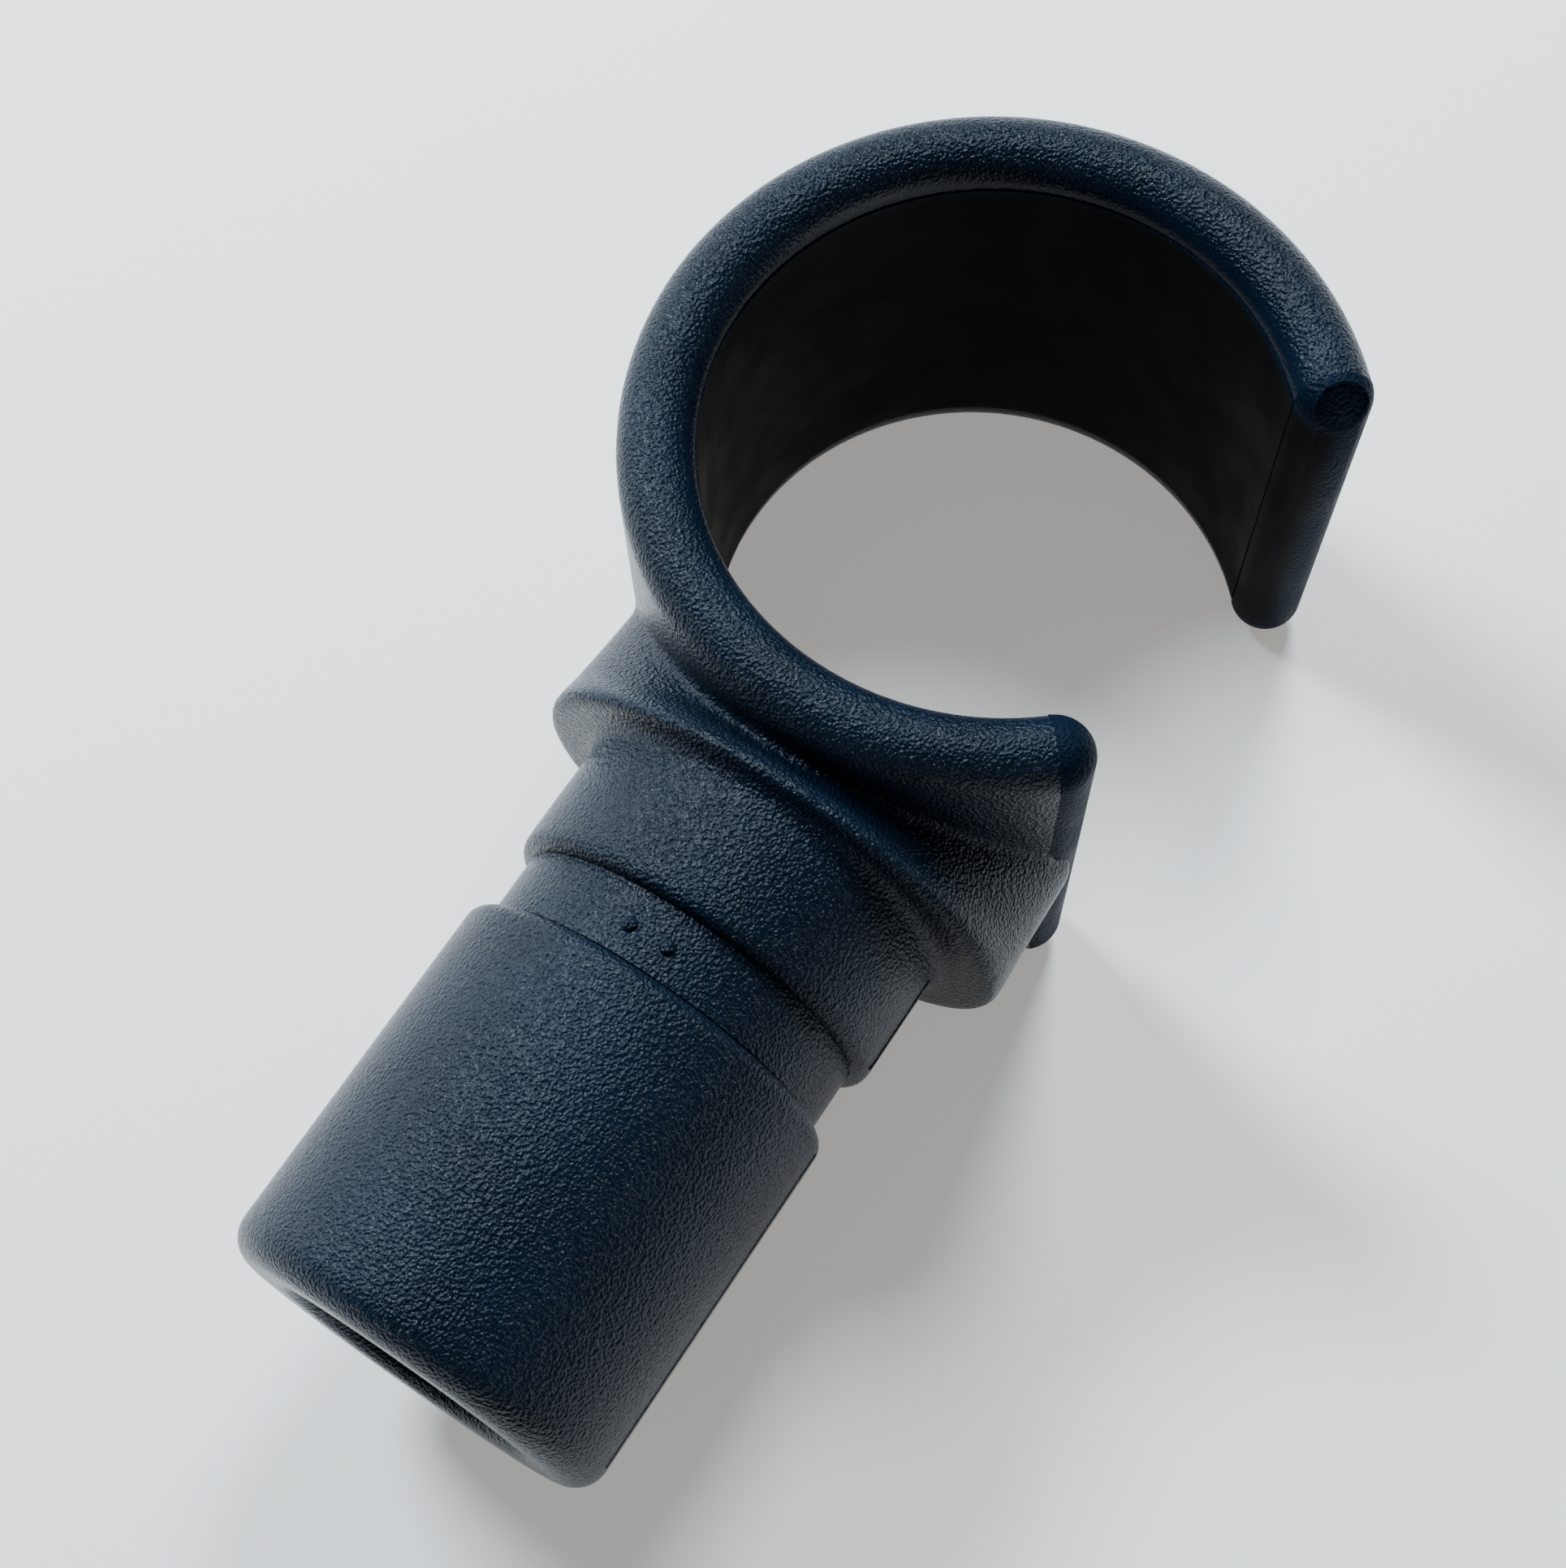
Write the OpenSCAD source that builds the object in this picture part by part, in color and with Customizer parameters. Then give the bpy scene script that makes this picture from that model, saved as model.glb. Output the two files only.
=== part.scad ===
// Side-opening boom jaw with a swivelling tube plug.
// Origin: centre of the jaw's bore at mid height. +Z runs along the mast, the plug leaves towards -X,
// and the mouth of the jaw opens towards -Y. All sizes are in millimetres.

/* [Jaw] */
// Bore that closes round the mast
bore_d = 51; // [40:0.5:60]
// Height of the jaw along the mast
jaw_h = 45.5; // [42:0.5:47]
// Wall of the jaw; its rims and tips are rounded to half of this
wall = 6.8; // [6:0.1:7.5]
// Direction of the middle of the mouth, in degrees from +X
mouth_dir = -93.5; // [-100:0.5:-85]
// Angle from the middle of the mouth to each tip
mouth_half = 45.5; // [40:0.5:50]
// Thickness of the wear liner in the bore
liner_t = 1.6; // [1.2:0.1:2]

/* [Web and flange] */
// Diameter of the flange that stops the tube
flange_d = 46.6; // [46.4:0.2:48]
// Height of the flange between its two flats
flange_h = 40; // [39.6:0.2:44]
// Thickness of the flange
flange_t = 3.1; // [3.1:0.1:3.6]
// Half width of the web where it meets the jaw
web_half_y = 22.8; // [20:0.1:22.9]
// Half height of the web where it meets the jaw
web_half_z = 15.5; // [14:0.1:18]

/* [Plug] */
// Diameter of the neck collar, which turns inside the tube
neck_d = 35.6; // [34.6:0.1:35.8]
// Diameter of the sleeve, which is fixed inside the tube
sleeve_d = 36; // [35.6:0.1:37]
// Diameter of the waist between neck and sleeve
waist_d = 32.8; // [31:0.1:34]
// Length of the neck
neck_len = 12.1; // [10:0.1:16]
// Length of the waist
waist_len = 5.8; // [4:0.1:8]
// Length of the sleeve
sleeve_len = 35.2; // [32:0.1:45]
// Diameter of the sleeve's hollow end
hollow_d = 22.5; // [22:0.1:24]

/* [Hidden] */

$fn = 96;
eps = 0.01;

// Jaw
bore_r = bore_d / 2;
rim_r = wall / 2;
mid_r = bore_r + rim_r;
outer_r = bore_r + wall;
straight_h = jaw_h - 2 * rim_r;
liner_h = straight_h - 0.8;
tip_a = mouth_dir + mouth_half;
tip_b = mouth_dir - mouth_half + 360;
arc = tip_b - tip_a;
// Seam between jaw and tip column: the angle left free, the column's set-back and its smaller radius
seam_angle = 0.8;
tip_bite = 0.3;
tip_r = rim_r - 0.1;
tip_room = 0.15;

// Distances along the plug from the bore's centre
flange_end = outer_r + 3.9;
flange_start = flange_end - flange_t;
neck_end = flange_end + neck_len;
waist_end = neck_end + waist_len;
sleeve_end = waist_end + sleeve_len;
flange_round = 1.5;
neck_fillet = 1.6;
neck_round = 0.9;
web_front = 22.5;
web_corner_r = 13;
cone_start = outer_r - 0.8;
cone_small_r = 15;
cone_large_r = 22;

// Spigot
root_start = outer_r + 0.8;
root_r = 12.5;
rib_r = 14.2;
rib_at = neck_end - 8;
rib_w = 3;
flat_half = 11.4;
journal_r = 8;
journal_end = waist_end + 15.4;
pip_r = 0.8;
pip_sunk = 0.35;
pip_angles = [4.5, -8.5];
pip_at = neck_end + 0.55 * waist_len;

// Swivel: gaps between the two bodies
turn_gap = 0.2;
run_gap = 0.05;

// Sleeve and the small parts on the swivel's axis
sleeve_start = waist_end + turn_gap;
front_round = 1.4;
end_round = 2.9;
lip_r = 1.5;
bush_r = 10.5;
bush_flange_r = 14;
bush_flange_t = 1.2;
shoulder_t = 2;
shoulder_end = journal_end - 1.2 - turn_gap;
thrust_end = journal_end - turn_gap;
thrust_r = 10.9;
journal_room = 0.4;
washer_r = 10.75;
washer_t = 1.5;
lock_r = 5.9;
lock_t = 1.6;
bolt_r = 2.95;
thread_r = 3;
head_r = 5.25;
head_h = 3.3;
head_round = 2;
hex_af = 4;
washer_end = journal_end + washer_t;
lock_end = washer_end + lock_t;
insert_len = 12;
insert_r = 4.4;
insert_groove_r = 4;
insert_groove_w = 1.2;
bolt_tip = journal_end - insert_len + 1;

// Turns a shape built along +Z so that it runs along the plug, towards -X
module along_plug(from = 0)
    translate([-from, 0, 0]) rotate([0, -90, 0]) children();

// A straight round bar along the plug, between two distances from the bore's centre
module bar(r, from, to)
    along_plug(from) cylinder(r = r, h = to - from);

// Cross-section of the jaw's wall: straight faces, fully rounded rims
module rim_profile(centre, r) {
    translate([centre - r, -straight_h / 2]) square([2 * r, straight_h]);
    for (side = [-1, 1]) translate([centre, side * straight_h / 2]) circle(r = r);
}

module liner_profile()
    translate([bore_r, -liner_h / 2]) square([liner_t, liner_h]);

// C-shaped band of the jaw, with the recess that the liner sits in
module hook_band()
    rotate([0, 0, tip_a + seam_angle]) rotate_extrude(angle = arc - 2 * seam_angle)
        difference() {
            rim_profile(mid_r, rim_r);
            liner_profile();
        }

// Web between flange and jaw: an oval boss cut to the jaw's wall and clear of the tip column beside it
module web() {
    corner_y = web_half_y - web_corner_r;
    corner_z = web_half_z - web_corner_r;
    difference() {
        along_plug(web_front) linear_extrude(height = flange_start + flange_round - web_front) {
            square([2 * web_half_z, 2 * corner_y], center = true);
            square([2 * corner_z, 2 * web_half_y], center = true);
            for (z = [-corner_z, corner_z], y = [-corner_y, corner_y])
                translate([z, y]) circle(r = web_corner_r);
        }
        cylinder(r = mid_r, h = jaw_h + 10, center = true);
        rotate([0, 0, tip_b]) translate([mid_r, 0, 0])
            cylinder(r = rim_r + tip_room, h = jaw_h + 10, center = true);
    }
}

// Cone that carries the flange's jaw side down to the jaw's wall
module web_cone()
    along_plug() rotate_extrude()
        polygon([[0, cone_start], [cone_small_r, cone_start],
                 [cone_large_r, flange_start + flange_round / 2], [0, flange_start + flange_round / 2]]);

// Flange and neck collar: one turned shape with rounded edges and a fillet between them
module flange_and_neck() {
    flange_r = flange_d / 2;
    neck_r = neck_d / 2;
    along_plug() rotate_extrude() difference() {
        union() {
            translate([0, flange_start]) square([flange_r - flange_round, flange_t]);
            translate([0, flange_start + flange_round])
                square([flange_r, flange_t - 2 * flange_round]);
            for (at = [flange_start + flange_round, flange_end - flange_round])
                translate([flange_r - flange_round, at]) circle(r = flange_round);
            translate([0, flange_end - eps]) square([neck_r, neck_len - neck_round]);
            translate([0, flange_end]) square([neck_r - neck_round, neck_len]);
            translate([neck_r - neck_round, neck_end - neck_round]) circle(r = neck_round);
            translate([neck_r - eps, flange_end - eps]) square([neck_fillet, neck_fillet]);
        }
        translate([neck_r + neck_fillet, flange_end + neck_fillet]) circle(r = neck_fillet);
    }
}

// Cone, flange and neck with the flange's upper and lower flats
module flange_body()
    intersection() {
        union() {
            web_cone();
            flange_and_neck();
        }
        cube([2 * neck_end + 2, flange_d + 2, flange_h], center = true);
    }

// Root of the spigot inside the neck: a ribbed bar with two flats that stop it turning
module spigot_root() {
    bar(root_r, root_start, neck_end);
    intersection() {
        bar(rib_r, rib_at, rib_at + rib_w);
        translate([-rib_at - rib_w / 2, 0, 0]) cube([rib_w + 1, 2 * flat_half, 2 * rib_r + 1], center = true);
    }
}

module insert_shape()
    difference() {
        bar(insert_r, journal_end - insert_len, journal_end);
        for (at = [3, 7]) difference() {
            bar(insert_r + 1, journal_end - at - insert_groove_w, journal_end - at);
            bar(insert_groove_r, journal_end - insert_len, journal_end);
        }
    }

module jaw()
    color("#1b2838") difference() {
        union() {
            hook_band();
            web();
            flange_body();
        }
        spigot_root();
    }

// Bore liner, with a rounded column that wraps each tip of the jaw
module mast_liner()
    color("#15181d") {
        rotate([0, 0, tip_a]) rotate_extrude(angle = arc) liner_profile();
        for (tip = [[tip_a, 1], [tip_b, -1]])
            rotate([0, 0, tip[0]]) translate([mid_r, tip[1] * tip_bite, 0])
                rotate([0, 0, 90 + 90 * tip[1]]) rotate_extrude(angle = 180) intersection() {
                    rim_profile(0, tip_r);
                    translate([0, -jaw_h]) square([wall, 2 * jaw_h]);
                }
    }

module spigot()
    color("#1d2a3a") difference() {
        union() {
            spigot_root();
            bar(waist_d / 2, neck_end, waist_end);
            bar(journal_r, waist_end - eps, journal_end);
            for (a = pip_angles)
                rotate([a, 0, 0]) translate([-pip_at, 0, waist_d / 2 - pip_sunk]) sphere(r = pip_r);
        }
        insert_shape();
        bar(thread_r, bolt_tip - 1, journal_end);
    }

// Plug sleeve: bush seat in front, an inner shoulder, then the hollow end
module plug_sleeve() {
    r = sleeve_d / 2;
    hollow_r = hollow_d / 2;
    color("#1b2838") along_plug() rotate_extrude() difference() {
        union() {
            translate([0, sleeve_start]) square([r - front_round, sleeve_len / 2]);
            translate([r - front_round, sleeve_start + front_round]) circle(r = front_round);
            translate([0, sleeve_start + front_round])
                square([r, sleeve_end - end_round - sleeve_start - front_round]);
            translate([0, sleeve_end - end_round]) square([r - end_round, end_round]);
            translate([r - end_round, sleeve_end - end_round]) circle(r = end_round);
        }
        translate([0, sleeve_start - 1]) square([bush_flange_r, bush_flange_t + 1]);
        translate([0, sleeve_start]) square([bush_r, shoulder_end - shoulder_t - sleeve_start]);
        translate([0, sleeve_start]) square([journal_r + journal_room, sleeve_len]);
        translate([0, shoulder_end]) square([hollow_r, sleeve_len]);
        difference() {
            translate([0, sleeve_end - lip_r]) square([hollow_r + lip_r, lip_r + 1]);
            translate([hollow_r + lip_r, sleeve_end - lip_r]) circle(r = lip_r);
        }
    }
}

module sleeve_bush()
    color("#d8d4c8") difference() {
        union() {
            bar(bush_flange_r, sleeve_start, sleeve_start + bush_flange_t);
            bar(bush_r, sleeve_start, shoulder_end - shoulder_t);
        }
        bar(journal_r + run_gap, sleeve_start - 1, shoulder_end);
    }

module ring(outer, inner, from, to)
    difference() {
        bar(outer, from, to);
        bar(inner, from - 1, to + 1);
    }

module thrust_ring()
    color("#e8e6de") ring(thrust_r, journal_r + journal_room, shoulder_end, thrust_end);

module retaining_washer()
    color("#b9bcc0") ring(washer_r, thread_r + 0.2, journal_end, washer_end);

module lock_washer()
    color("#a4a8ad") ring(lock_r, thread_r + 0.1, washer_end, lock_end);

// Button-head screw with a hexagon socket
module swivel_bolt()
    color("#c3c6ca") difference() {
        union() {
            bar(bolt_r, bolt_tip, lock_end + eps);
            along_plug(lock_end) rotate_extrude() {
                square([head_r - head_round, head_h]);
                square([head_r, head_h - head_round]);
                intersection() {
                    translate([head_r - head_round, head_h - head_round]) circle(r = head_round);
                    square([head_r, head_h]);
                }
            }
        }
        along_plug(lock_end + head_h - 2.2) cylinder(r = hex_af / sqrt(3), h = 3, $fn = 6);
    }

module thread_insert()
    color("#b58b3a") difference() {
        insert_shape();
        bar(thread_r, journal_end - insert_len - 1, journal_end + 1);
    }

jaw();
mast_liner();
spigot();
plug_sleeve();
sleeve_bush();
thrust_ring();
retaining_washer();
lock_washer();
swivel_bolt();
thread_insert();
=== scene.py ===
"""Looks of a side-opening boom jaw with a swivelling tube plug: grained navy nylon, smooth dark liner whose
near-black colour is partly painted shade.
"""
from math import asin, cos, degrees, pi, radians, sin, sqrt

import bpy
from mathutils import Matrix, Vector


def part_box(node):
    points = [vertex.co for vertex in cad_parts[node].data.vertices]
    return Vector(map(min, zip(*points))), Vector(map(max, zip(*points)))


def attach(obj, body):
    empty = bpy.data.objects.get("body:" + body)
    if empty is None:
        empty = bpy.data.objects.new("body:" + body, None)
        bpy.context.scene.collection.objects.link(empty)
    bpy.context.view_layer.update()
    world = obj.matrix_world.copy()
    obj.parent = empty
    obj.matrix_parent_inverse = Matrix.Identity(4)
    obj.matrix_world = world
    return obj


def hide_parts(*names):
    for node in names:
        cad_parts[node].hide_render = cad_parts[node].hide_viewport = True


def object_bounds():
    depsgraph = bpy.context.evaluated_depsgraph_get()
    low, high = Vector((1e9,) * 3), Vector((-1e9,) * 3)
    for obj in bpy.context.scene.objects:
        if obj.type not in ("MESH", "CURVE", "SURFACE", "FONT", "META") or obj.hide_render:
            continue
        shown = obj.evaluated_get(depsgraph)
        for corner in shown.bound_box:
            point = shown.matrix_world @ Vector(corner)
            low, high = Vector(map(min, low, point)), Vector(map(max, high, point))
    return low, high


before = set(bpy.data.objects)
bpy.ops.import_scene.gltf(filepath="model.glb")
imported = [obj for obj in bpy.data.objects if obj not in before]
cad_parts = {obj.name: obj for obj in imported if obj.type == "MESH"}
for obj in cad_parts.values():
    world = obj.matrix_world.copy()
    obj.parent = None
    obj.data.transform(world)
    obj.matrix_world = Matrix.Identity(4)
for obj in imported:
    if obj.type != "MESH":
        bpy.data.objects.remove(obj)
cad_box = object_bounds()

MM = 0.001

# Jaw: a C-shaped wall with fully rounded rims round the +Z axis
BORE_R = 25.5 * MM
WALL = 6.8 * MM
RIM_R = WALL / 2
MID_R = BORE_R + RIM_R
OUTER_R = BORE_R + WALL
JAW_H = 45.5 * MM
STRAIGHT_H = JAW_H - WALL
LINER_T = 1.6 * MM
LINER_H = STRAIGHT_H - 0.8 * MM
TIP_A = radians(-48)
TIP_B = radians(221)
ARC = TIP_B - TIP_A
OVERRUN = radians(1.2)
FACET = RIM_R - 0.9 * MM

# Plug: distances from the bore's centre towards -X, and radii
SLEEVE_LOW, SLEEVE_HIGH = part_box("plug_sleeve")
SLEEVE_START = -SLEEVE_HIGH.x
SLEEVE_END = -SLEEVE_LOW.x
SLEEVE_R = SLEEVE_HIGH.z
FLANGE_END = 36.2 * MM
FLANGE_Y = 23.3 * MM
FLANGE_Z = 19.8 * MM
NECK_R = 17.8 * MM
NECK_END = 48.3 * MM
WAIST_R = 16.4 * MM
ROOT_R = 12.5 * MM
ROOT_START = 33.1 * MM

VOXEL = 0.45 * MM


# ---------------------------------------------------------------- mesh tools

def start(name, add, **settings):
    """Adds one primitive, named, and opens it in edit mode."""
    bpy.ops.object.select_all(action="DESELECT")
    add(**settings)
    piece = bpy.context.object
    piece.name = piece.data.name = name
    bpy.ops.object.mode_set(mode="EDIT")
    return piece


def close():
    bpy.ops.object.mode_set(mode="OBJECT")
    bpy.ops.object.transform_apply(location=True, rotation=True, scale=True)


def only(piece):
    bpy.ops.object.select_all(action="DESELECT")
    piece.select_set(True)
    bpy.context.view_layer.objects.active = piece


def pick(piece, test):
    """Selects the vertices, in object mode and back, whose place passes the test."""
    bpy.ops.mesh.select_all(action="DESELECT")
    bpy.ops.object.mode_set(mode="OBJECT")
    for v in piece.data.vertices:
        v.select = test(v.co)
    bpy.ops.object.mode_set(mode="EDIT")
    bpy.ops.mesh.select_mode(type="VERT")


def tidy_mesh(distance=0.002 * MM):
    bpy.ops.mesh.select_all(action="SELECT")
    bpy.ops.mesh.remove_doubles(threshold=distance)
    bpy.ops.mesh.normals_make_consistent(inside=False)


def finish_with(piece, kind, **settings):
    """Adds a modifier, sets it and applies it."""
    only(piece)
    modifier = piece.modifiers.new(kind.title(), kind)
    for key, value in settings.items():
        setattr(modifier, key, value)
    bpy.ops.object.modifier_apply(modifier=modifier.name)


def rings(name, stations, segments=144, closed=False):
    """A body along the plug: rings at (distance, half width in Y, half height in Z), each extruded to the next."""
    first = stations[0]
    piece = start(name, bpy.ops.mesh.primitive_circle_add, vertices=segments, radius=1,
                  location=(-first[0], 0, 0), rotation=(0, pi / 2, 0))
    here = Vector((-first[0], 0, 0))
    bpy.ops.transform.resize(value=(1, first[1], first[2]), center_override=here)
    for before, after in zip(stations, stations[1:]):
        bpy.ops.mesh.extrude_edges_move(TRANSFORM_OT_translate={"value": (before[0] - after[0], 0, 0)})
        here = Vector((-after[0], 0, 0))
        bpy.ops.transform.resize(value=(1, after[1] / before[1], after[2] / before[2]), center_override=here)
    if not closed:
        bpy.ops.mesh.select_all(action="DESELECT")
        bpy.ops.mesh.select_non_manifold()
        bpy.ops.mesh.edge_face_add()
        pick_ends = (stations[0][0], stations[-1][0])
        pick(piece, lambda co: min(abs(co.x + end) for end in pick_ends) < 1e-7)
        bpy.ops.mesh.edge_face_add()
    tidy_mesh()
    close()
    return piece


def turned(name, outline, segments=144, closed=False):
    return rings(name, [(s, r, r) for s, r in outline], segments, closed)


def corner(centre_s, centre_r, radius, from_deg, to_deg, steps=8):
    """Points of a rounded corner; 0 degrees points away from the jaw and 90 degrees points outwards."""
    angles = [radians(from_deg + (to_deg - from_deg) * i / steps) for i in range(steps + 1)]
    return [(centre_s + radius * cos(a), centre_r + radius * sin(a)) for a in angles]


def join(keep, *others):
    only(keep)
    for other in others:
        other.select_set(True)
    bpy.ops.object.join()
    return keep


def smooth(piece, angle=40):
    only(piece)
    bpy.ops.object.shade_smooth_by_angle(angle=radians(angle))


# ---------------------------------------------------------------- jaw

def stadium_band(name, radius, angle_from, angle_to, steps, bore_dip=0.0, centre_r=MID_R):
    """The jaw's wall: a circle stretched along Z, spun round the bore."""
    piece = start(name, bpy.ops.mesh.primitive_circle_add, vertices=40, radius=radius, fill_type="NGON",
                  location=(centre_r, 0, 0), rotation=(pi / 2, 0, 0))
    for side in (1, -1):
        pick(piece, lambda co: co.y * side > 0.01 * MM)
        bpy.ops.transform.translate(value=(0, 0, side * STRAIGHT_H / 2))
    pick(piece, lambda co: abs(co.y) < 0.01 * MM and co.x < MID_R - piece.location.x - 1 * MM)
    bpy.ops.transform.translate(value=(bore_dip, 0, 0))
    bpy.ops.mesh.select_all(action="SELECT")
    bpy.ops.mesh.spin(steps=steps, angle=angle_to - angle_from, center=(0, 0, 0), axis=(0, 0, -1))
    bpy.ops.mesh.select_all(action="DESELECT")
    bpy.ops.mesh.select_non_manifold()
    bpy.ops.mesh.edge_face_add()
    tidy_mesh()
    close()
    piece.rotation_euler.z = angle_from
    only(piece)
    bpy.ops.object.transform_apply(location=True, rotation=True, scale=True)
    return piece


def parting_fin(name, distance_from, distance_to, radius, side, proud=0.10 * MM):
    """Fine flash line where the two halves of the mould met, at mid height along the plug."""
    length = distance_to - distance_from
    piece = start(name, bpy.ops.mesh.primitive_cube_add, size=1,
                  location=(-(distance_from + distance_to) / 2, side * (radius - 0.3 * MM + proud), 0))
    bpy.ops.transform.resize(value=(length, 0.6 * MM, 0.22 * MM))
    bpy.ops.mesh.bevel(offset=0.06 * MM, segments=2)
    close()
    return piece


def jaw_shell():
    """Jaw, boss, flange and neck collar as one moulding with soft fillets where they run together."""
    band = stadium_band("jaw_shell", RIM_R, TIP_A - OVERRUN, TIP_B + OVERRUN, 200, bore_dip=0.8 * MM)
    edge = 0.9 * MM
    root = 1.1 * MM
    boss = [(22.5 * MM, 22.9 * MM, 10.5 * MM), (30.0 * MM, 23.1 * MM, 15.2 * MM),
            (32.4 * MM, 23.2 * MM, 16.6 * MM), (34.2 * MM, FLANGE_Y, 18.6 * MM)]
    rim = [(s, r, r + FLANGE_Z - FLANGE_Y) for s, r in
           corner(FLANGE_END - edge, FLANGE_Y - edge, edge, 80, 0, 6)]
    fillet = corner(FLANGE_END + root, NECK_R + root, root, 180, 270, 6)
    collar = corner(NECK_END - 1.0 * MM, NECK_R - 1.0 * MM, 1.0 * MM, 90, 0, 6)
    neck = [(s, r, r) for s, r in fillet + collar]
    body = rings("boss", boss + rim + neck, 120)
    room = start("bore_room", bpy.ops.mesh.primitive_cylinder_add, vertices=192, radius=MID_R, depth=JAW_H)
    close()
    finish_with(body, "BOOLEAN", operation="DIFFERENCE", solver="EXACT", object=room)
    bpy.data.objects.remove(room)
    join(band, body)
    finish_with(band, "REMESH", mode="VOXEL", voxel_size=VOXEL, use_smooth_shade=True)
    finish_with(band, "SMOOTH", factor=0.5, iterations=9)
    fins = [parting_fin("neck_fin", FLANGE_END + 1.6 * MM, NECK_END - 1.1 * MM, NECK_R, side) for side in (1, -1)]
    return join(band, *fins)


# ---------------------------------------------------------------- liner and tip columns

def tip_column(name, angle, side):
    """Rounded end of the jaw: half a stadium, spun about its own upright axis."""
    piece = start(name, bpy.ops.mesh.primitive_circle_add, vertices=64, radius=RIM_R, fill_type="NGON",
                  location=(0, 0, 0), rotation=(pi / 2, 0, 0))
    for half in (1, -1):
        pick(piece, lambda co: co.y * half > 0.01 * MM)
        bpy.ops.transform.translate(value=(0, 0, half * STRAIGHT_H / 2))
    bpy.ops.mesh.select_all(action="SELECT")
    bpy.ops.mesh.bisect(plane_co=(0, 0, 0), plane_no=(-1, 0, 0), clear_outer=True)
    bpy.ops.mesh.select_all(action="SELECT")
    bpy.ops.mesh.spin(steps=40, angle=pi, center=(0, 0, 0), axis=(0, 0, side))
    bpy.ops.mesh.select_all(action="DESELECT")
    bpy.ops.mesh.select_non_manifold()
    bpy.ops.mesh.edge_face_add()
    tidy_mesh()
    if side > 0:
        bpy.ops.mesh.select_all(action="SELECT")
        bpy.ops.mesh.bisect(plane_co=(0, -0.8 * FACET, STRAIGHT_H / 2 + 0.6 * FACET),
                            plane_no=(0, -0.8, 0.6), clear_outer=True, use_fill=True)
    close()
    piece.rotation_euler.z = angle
    piece.location = (MID_R * cos(angle), MID_R * sin(angle), 0)
    only(piece)
    bpy.ops.object.transform_apply(location=True, rotation=True, scale=True)
    return piece


def witness_ridge(name, angle, ring_r, thick, lean=0.0, along=0.0, up=0.0):
    """Fine half-round ridge on a tip, where two parts of the mould met."""
    piece = start(name, bpy.ops.mesh.primitive_circle_add, vertices=10, radius=thick, fill_type="NGON",
                  location=(ring_r, 0, 0))
    bpy.ops.mesh.spin(steps=40, angle=pi, center=(0, 0, 0), axis=(0, 1, 0))
    bpy.ops.mesh.select_all(action="DESELECT")
    bpy.ops.mesh.select_non_manifold()
    bpy.ops.mesh.edge_face_add()
    tidy_mesh()
    close()
    piece.rotation_euler = (lean, 0, angle)
    piece.location = (MID_R * cos(angle) - along * sin(angle), MID_R * sin(angle) + along * cos(angle),
                      STRAIGHT_H / 2 + up)
    only(piece)
    bpy.ops.object.transform_apply(location=True, rotation=True, scale=True)
    return piece


def liner():
    """Smooth bore liner with the rounded column that closes each tip of the jaw."""
    piece = start("bore_liner", bpy.ops.mesh.primitive_plane_add, size=1,
                  location=(BORE_R + LINER_T / 2, 0, 0), rotation=(pi / 2, 0, 0))
    bpy.ops.transform.resize(value=(LINER_T + 0.16 * MM, 1, LINER_H))
    bpy.ops.mesh.spin(steps=180, angle=ARC, center=(0, 0, 0), axis=(0, 0, -1))
    bpy.ops.mesh.select_all(action="DESELECT")
    bpy.ops.mesh.select_non_manifold()
    bpy.ops.mesh.edge_face_add()
    tidy_mesh()
    close()
    piece.rotation_euler.z = TIP_A
    only(piece)
    bpy.ops.object.transform_apply(location=True, rotation=True, scale=True)
    return join(piece, tip_column("upper_tip", TIP_A, 1), tip_column("lower_tip", TIP_B, -1),
                witness_ridge("upper_ridge", TIP_A, 2.3 * MM, 0.17 * MM, radians(-36.9), -0.8 * FACET, 0.6 * FACET),
                witness_ridge("lower_ridge", TIP_B, RIM_R - 0.08 * MM, 0.13 * MM))


# ---------------------------------------------------------------- sleeve

def sleeve():
    front = 1.4 * MM
    end = 2.9 * MM
    lip = 1.5 * MM
    hollow = 11.25 * MM
    bush = 10.5 * MM
    seat = 14 * MM
    journal = 8.4 * MM
    shoulder_end = 68.1 * MM
    outline = [(SLEEVE_START, seat)]
    outline += corner(SLEEVE_START + front, SLEEVE_R - front, front, 180, 90)
    outline += corner(SLEEVE_END - end, SLEEVE_R - end, end, 90, 0, 12)
    outline += corner(SLEEVE_END - lip, hollow + lip, lip, 0, -90)
    outline += [(shoulder_end, hollow), (shoulder_end, journal), (shoulder_end - 2 * MM, journal)]
    outline += [(shoulder_end - 2 * MM, bush), (SLEEVE_START + 1.2 * MM, bush), (SLEEVE_START + 1.2 * MM, seat)]
    outline += [(SLEEVE_START, seat)]
    shell = turned("sleeve_shell", outline, 192, closed=True)
    fins = [parting_fin("sleeve_fin", SLEEVE_START + front, SLEEVE_END - end, SLEEVE_R, side, 0.07 * MM)
            for side in (1, -1)]
    return join(shell, *fins)


# ---------------------------------------------------------------- materials

def nodes_for(name):
    material = bpy.data.materials.new(name)
    material.use_nodes = True
    tree = material.node_tree
    return material, tree, tree.nodes["Principled BSDF"]


def link(tree, out, into):
    tree.links.new(out, into)


def noise(tree, place, scale, detail=2.0, roughness=0.5):
    node = tree.nodes.new("ShaderNodeTexNoise")
    node.inputs["Scale"].default_value = scale
    node.inputs["Detail"].default_value = detail
    node.inputs["Roughness"].default_value = roughness
    link(tree, place, node.inputs["Vector"])
    return node.outputs["Fac"]


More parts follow.
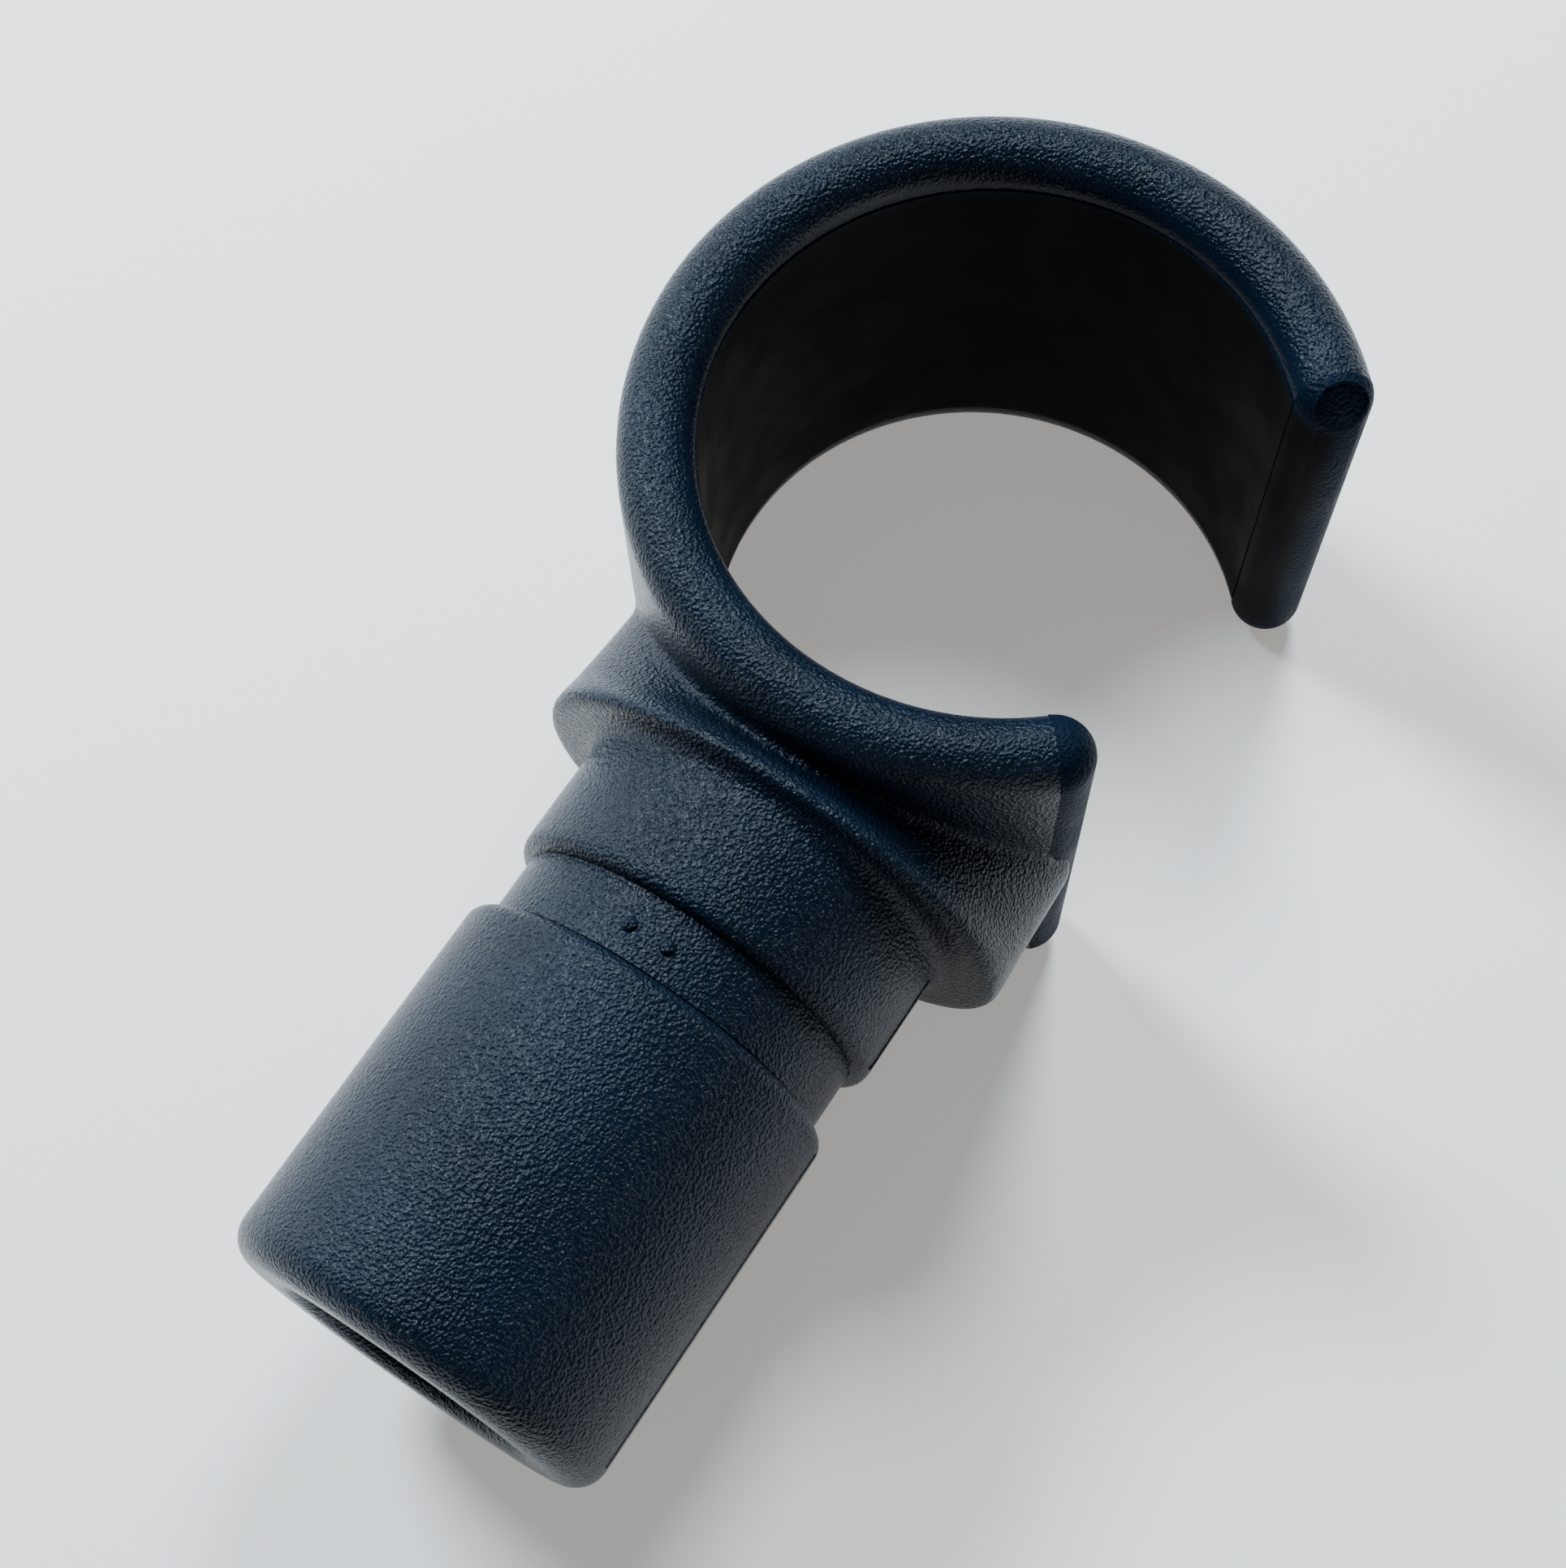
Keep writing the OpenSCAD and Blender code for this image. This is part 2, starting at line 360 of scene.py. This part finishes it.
def ramp(tree, value, low, high, stops=(0.35, 0.65)):
    node = tree.nodes.new("ShaderNodeMapRange")
    node.inputs["From Min"].default_value = stops[0]
    node.inputs["From Max"].default_value = stops[1]
    node.inputs["To Min"].default_value = low
    node.inputs["To Max"].default_value = high
    link(tree, value, node.inputs["Value"])
    return node.outputs["Result"]


def bump(tree, height, depth, strength, under=None):
    node = tree.nodes.new("ShaderNodeBump")
    node.inputs["Distance"].default_value = depth
    node.inputs["Strength"].default_value = strength
    link(tree, height, node.inputs["Height"])
    if under:
        link(tree, under, node.inputs["Normal"])
    return node.outputs["Normal"]


def tint(tree, value, dark, light, stops=(0.35, 0.65)):
    node = tree.nodes.new("ShaderNodeValToRGB")
    node.color_ramp.elements[0].position = stops[0]
    node.color_ramp.elements[1].position = stops[1]
    node.color_ramp.elements[0].color = (*dark, 1)
    node.color_ramp.elements[1].color = (*light, 1)
    link(tree, value, node.inputs["Fac"])
    return node.outputs["Color"]


def grained_nylon():
    """Spark-eroded grain about 0.3 mm across that fades out towards the smooth bore; colour drifts slowly."""
    material, tree, shader = nodes_for("grained_nylon")
    place = tree.nodes.new("ShaderNodeTexCoord").outputs["Object"]
    grain = tree.nodes.new("ShaderNodeTexVoronoi")
    grain.feature = "SMOOTH_F1"
    grain.inputs["Scale"].default_value = 3100
    grain.inputs["Smoothness"].default_value = 0.6
    link(tree, place, grain.inputs["Vector"])
    fine = noise(tree, place, 4800, 2)
    drift = noise(tree, place, 90, 3)
    link(tree, tint(tree, drift, (0.0016, 0.0062, 0.0155), (0.0030, 0.0098, 0.0230)), shader.inputs["Base Color"])
    link(tree, ramp(tree, fine, 0.18, 0.38), shader.inputs["Roughness"])
    shader.inputs["Specular IOR Level"].default_value = 0.18
    flat = tree.nodes.new("ShaderNodeVectorMath")
    flat.operation = "MULTIPLY"
    flat.inputs[1].default_value = (1, 1, 0)
    link(tree, place, flat.inputs[0])
    reach = tree.nodes.new("ShaderNodeVectorMath")
    reach.operation = "LENGTH"
    link(tree, flat.outputs["Vector"], reach.inputs[0])
    outside = ramp(tree, reach.outputs["Value"], 0.06, 1, (BORE_R - 0.1 * MM, BORE_R + 1.0 * MM))
    first = bump(tree, grain.outputs["Distance"], 0.17 * MM, 1.0)
    link(tree, outside, first.node.inputs["Strength"])
    second = bump(tree, fine, 0.12 * MM, 1.0, first)
    link(tree, outside, second.node.inputs["Strength"])
    link(tree, second, shader.inputs["Normal"])
    return material


def smooth_liner_and_painted_shade():
    """Smooth and near black on upright faces, partly the liner's own dark plastic and partly painted shade for the
    bore and tip-column sides that face away from the lamps; the caps of the tip columns carry the jaw's grain.
    """
    material, tree, shader = nodes_for("liner_plastic")
    place = tree.nodes.new("ShaderNodeTexCoord").outputs["Object"]
    split = tree.nodes.new("ShaderNodeSeparateXYZ")
    link(tree, place, split.inputs["Vector"])
    height = tree.nodes.new("ShaderNodeMath")
    height.operation = "ABSOLUTE"
    link(tree, split.outputs["Z"], height.inputs[0])
    flat = tree.nodes.new("ShaderNodeVectorMath")
    flat.operation = "MULTIPLY"
    flat.inputs[1].default_value = (1, 1, 0)
    link(tree, place, flat.inputs[0])
    reach = tree.nodes.new("ShaderNodeVectorMath")
    reach.operation = "LENGTH"
    link(tree, flat.outputs["Vector"], reach.inputs[0])
    rounded = ramp(tree, height.outputs["Value"], 0, 1, (STRAIGHT_H / 2 - 1.4 * MM, STRAIGHT_H / 2))
    outer = ramp(tree, reach.outputs["Value"], 0, 1, (MID_R - 0.8 * MM, MID_R + 0.6 * MM))
    either = tree.nodes.new("ShaderNodeMath")
    either.operation = "MAXIMUM"
    link(tree, rounded, either.inputs[0])
    link(tree, outer, either.inputs[1])
    cap = either.outputs["Value"]
    grain = tree.nodes.new("ShaderNodeTexVoronoi")
    grain.feature = "SMOOTH_F1"
    grain.inputs["Scale"].default_value = 3100
    link(tree, place, grain.inputs["Vector"])
    fine = noise(tree, place, 4800, 2)
    flow = noise(tree, place, 160, 4)
    # Near-black colour: partly the liner's own dark plastic, partly painted shade for the bore wall and tip-column
    # sides that face away from the lamps
    liner_colour_and_painted_shade = tint(tree, flow, (0.0005, 0.0006, 0.0009), (0.0012, 0.0014, 0.0020))
    blend = tree.nodes.new("ShaderNodeMix")
    blend.data_type = "RGBA"
    link(tree, cap, blend.inputs["Factor"])
    link(tree, liner_colour_and_painted_shade, blend.inputs["A"])
    link(tree, tint(tree, flow, (0.0016, 0.0062, 0.0155), (0.0030, 0.0098, 0.0230)), blend.inputs["B"])
    link(tree, blend.outputs["Result"], shader.inputs["Base Color"])
    link(tree, ramp(tree, flow, 0.45, 0.58), shader.inputs["Roughness"])
    shader.inputs["Specular IOR Level"].default_value = 0.04
    rough = bump(tree, grain.outputs["Distance"], 0.17 * MM, 1.0)
    link(tree, cap, rough.node.inputs["Strength"])
    link(tree, bump(tree, fine, 0.02 * MM, 0.5, rough), shader.inputs["Normal"])
    return material


def turned_metal(name, colour, dark, rough):
    material, tree, shader = nodes_for(name)
    place = tree.nodes.new("ShaderNodeTexCoord")
    mapping = tree.nodes.new("ShaderNodeMapping")
    mapping.inputs["Scale"].default_value = (12, 1, 1)
    link(tree, place.outputs["Object"], mapping.inputs["Vector"])
    lines = noise(tree, mapping.outputs["Vector"], 700, 3)
    link(tree, tint(tree, lines, dark, colour), shader.inputs["Base Color"])
    link(tree, ramp(tree, lines, rough - 0.06, rough + 0.08), shader.inputs["Roughness"])
    shader.inputs["Metallic"].default_value = 1.0
    link(tree, bump(tree, lines, 0.01 * MM, 0.3), shader.inputs["Normal"])
    return material


def bearing_plastic():
    material, tree, shader = nodes_for("bearing_plastic")
    place = tree.nodes.new("ShaderNodeTexCoord").outputs["Object"]
    cloud = noise(tree, place, 300, 3)
    link(tree, tint(tree, cloud, (0.62, 0.58, 0.48), (0.74, 0.71, 0.62)), shader.inputs["Base Color"])
    link(tree, ramp(tree, cloud, 0.38, 0.5), shader.inputs["Roughness"])
    link(tree, bump(tree, noise(tree, place, 2500, 2), 0.01 * MM, 0.4), shader.inputs["Normal"])
    return material


def paint(piece, material):
    piece.data.materials.clear()
    piece.data.materials.append(material)


# ---------------------------------------------------------------- assembly

NYLON = grained_nylon()
# Liner material: its near-black colour is partly painted shade in the bore and on the tip-column sides
LINER = smooth_liner_and_painted_shade()
STEEL = turned_metal("stainless", (0.66, 0.67, 0.69), (0.5, 0.51, 0.53), 0.28)
BRASS = turned_metal("insert_brass", (0.74, 0.56, 0.26), (0.6, 0.43, 0.18), 0.3)
BEARING = bearing_plastic()

for node, material in {
        "jaw": NYLON, "plug_sleeve": NYLON, "spigot": NYLON, "mast_liner": LINER,
        "sleeve_bush": BEARING, "thrust_ring": BEARING, "retaining_washer": STEEL,
        "lock_washer": STEEL, "swivel_bolt": STEEL, "thread_insert": BRASS}.items():
    paint(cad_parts[node], material)


def place_piece(piece, body, node, material, angle=40):
    smooth(piece, angle)
    paint(piece, material)
    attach(piece, body)
    if node:
        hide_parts(node)


place_piece(jaw_shell(), "jaw_body", "jaw", NYLON, 60)
place_piece(liner(), "jaw_body", "mast_liner", LINER, 50)
place_piece(sleeve(), "plug_body", "plug_sleeve", NYLON)


# ---------------------------------------------------------------- floor, lights and camera

def floor():
    ground = cad_box[0][2] - 0.2 * MM
    bpy.ops.object.select_all(action="DESELECT")
    bpy.ops.mesh.primitive_plane_add(size=6, location=(0, 0, ground))
    plane = bpy.context.object
    plane.name = "floor"
    material, tree, shader = nodes_for("pale_floor")
    shader.inputs["Base Color"].default_value = (0.93, 0.93, 0.93, 1)
    shader.inputs["Roughness"].default_value = 0.9
    shader.inputs["Emission Color"].default_value = (1.0, 0.96, 0.91, 1)
    shader.inputs["Emission Strength"].default_value = 0.36
    paint(plane, material)


def soft_light(name, place, size, power, colour, aim=(-0.03, 0, 0)):
    lamp = bpy.data.lights.new(name, "AREA")
    lamp.shape = "DISK"
    lamp.size = size
    lamp.energy = power
    lamp.color = colour
    thing = bpy.data.objects.new(name, lamp)
    thing.location = place
    thing.rotation_euler = (Vector(aim) - Vector(place)).to_track_quat("-Z", "Y").to_euler()
    bpy.context.scene.collection.objects.link(thing)


def studio():
    world = bpy.data.worlds.new("studio")
    world.use_nodes = True
    background = world.node_tree.nodes["Background"]
    background.inputs["Color"].default_value = (0.74, 0.87, 1.0, 1)
    background.inputs["Strength"].default_value = 0.12
    bpy.context.scene.world = world
    soft_light("window", (0.06, 0.50, 0.46), 0.20, 8.5, (0.80, 0.92, 1.0))
    soft_light("overhead", (0.40, 0.14, 0.52), 0.20, 5.0, (0.84, 0.94, 1.0))


def camera():
    """Above the plug, looking down and along it towards the jaw."""
    lens = bpy.data.cameras.new("camera")
    lens.sensor_fit = "VERTICAL"
    lens.sensor_height = 36
    lens.lens = 60.88
    lens.clip_start = 0.01
    view = bpy.data.objects.new("camera", lens)
    view.location = (-0.09925, -0.04880, 0.21704)
    view.rotation_euler = (radians(21.74), radians(1.165), radians(-56.50))
    bpy.context.scene.collection.objects.link(view)
    bpy.context.scene.camera = view


floor()
studio()
camera()
